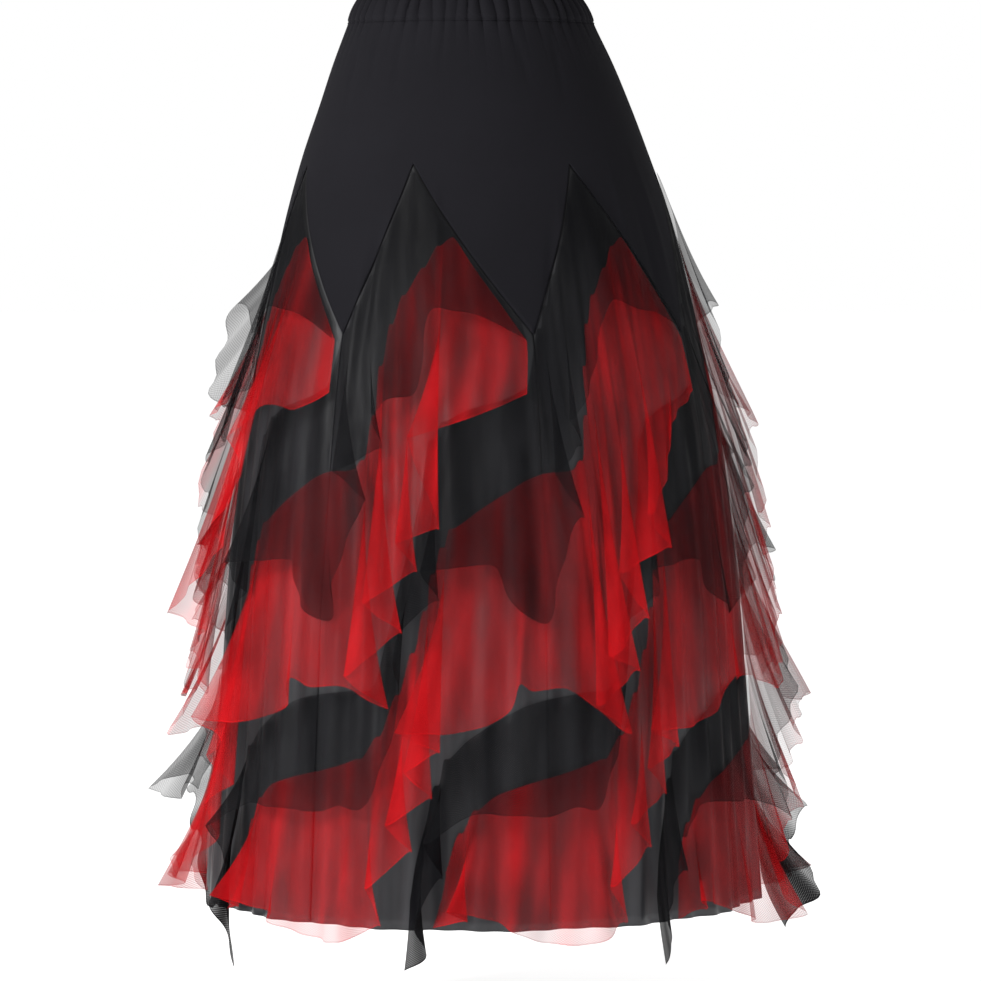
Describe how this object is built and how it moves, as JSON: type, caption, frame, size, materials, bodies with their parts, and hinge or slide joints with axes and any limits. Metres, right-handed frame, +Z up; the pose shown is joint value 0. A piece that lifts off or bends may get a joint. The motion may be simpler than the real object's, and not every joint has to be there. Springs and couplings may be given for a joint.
{
  "type": "latin dance skirt",
  "caption": "Long dance skirt filled out as worn: gathered waistband, smooth zigzag yoke, satin godets and spiral flounces of black and red mesh.",
  "frame": {"origin": "middle of the waistband, on the waist's axis", "axes": "+Z up, front faces -Y, the wearer's left side is +X"},
  "size_m": [0.6712, 0.5981, 0.9464],
  "materials": {
    "jersey": "fine matt black viscose jersey",
    "satin": "black satin with a soft sheen",
    "black_mesh": "sheer black nylon mesh",
    "red_mesh": "sheer red nylon mesh"
  },
  "bodies": {
    "root": {"waistband": "jersey", "yoke_front": "jersey", "yoke_back": "jersey", "godet_1": "satin", "godet_2": "satin", "godet_3": "satin", "godet_4": "satin", "godet_5": "satin", "godet_6": "satin", "godet_7": "satin", "black_flounce_top_1": "black_mesh", "black_flounce_top_2": "black_mesh", "black_flounce_top_3": "black_mesh", "black_flounce_top_4": "black_mesh", "black_flounce_top_5": "black_mesh", "black_flounce_top_6": "black_mesh", "black_flounce_top_7": "black_mesh", "black_flounce_mid_1": "black_mesh", "black_flounce_mid_2": "black_mesh", "black_flounce_mid_3": "black_mesh", "black_flounce_mid_4": "black_mesh", "black_flounce_mid_5": "black_mesh", "black_flounce_mid_6": "black_mesh", "black_flounce_mid_7": "black_mesh", "black_flounce_low_1": "black_mesh", "black_flounce_low_2": "black_mesh", "black_flounce_low_3": "black_mesh", "black_flounce_low_4": "black_mesh", "black_flounce_low_5": "black_mesh", "black_flounce_low_6": "black_mesh", "black_flounce_low_7": "black_mesh", "red_flounce_top_1": "red_mesh", "red_flounce_top_2": "red_mesh", "red_flounce_top_3": "red_mesh", "red_flounce_top_4": "red_mesh", "red_flounce_top_5": "red_mesh", "red_flounce_top_6": "red_mesh", "red_flounce_top_7": "red_mesh", "red_flounce_mid_1": "red_mesh", "red_flounce_mid_2": "red_mesh", "red_flounce_mid_3": "red_mesh", "red_flounce_mid_4": "red_mesh", "red_flounce_mid_5": "red_mesh", "red_flounce_mid_6": "red_mesh", "red_flounce_mid_7": "red_mesh", "red_flounce_low_1": "red_mesh", "red_flounce_low_2": "red_mesh", "red_flounce_low_3": "red_mesh", "red_flounce_low_4": "red_mesh", "red_flounce_low_5": "red_mesh", "red_flounce_low_6": "red_mesh", "red_flounce_low_7": "red_mesh"}
  },
  "joints": []
}
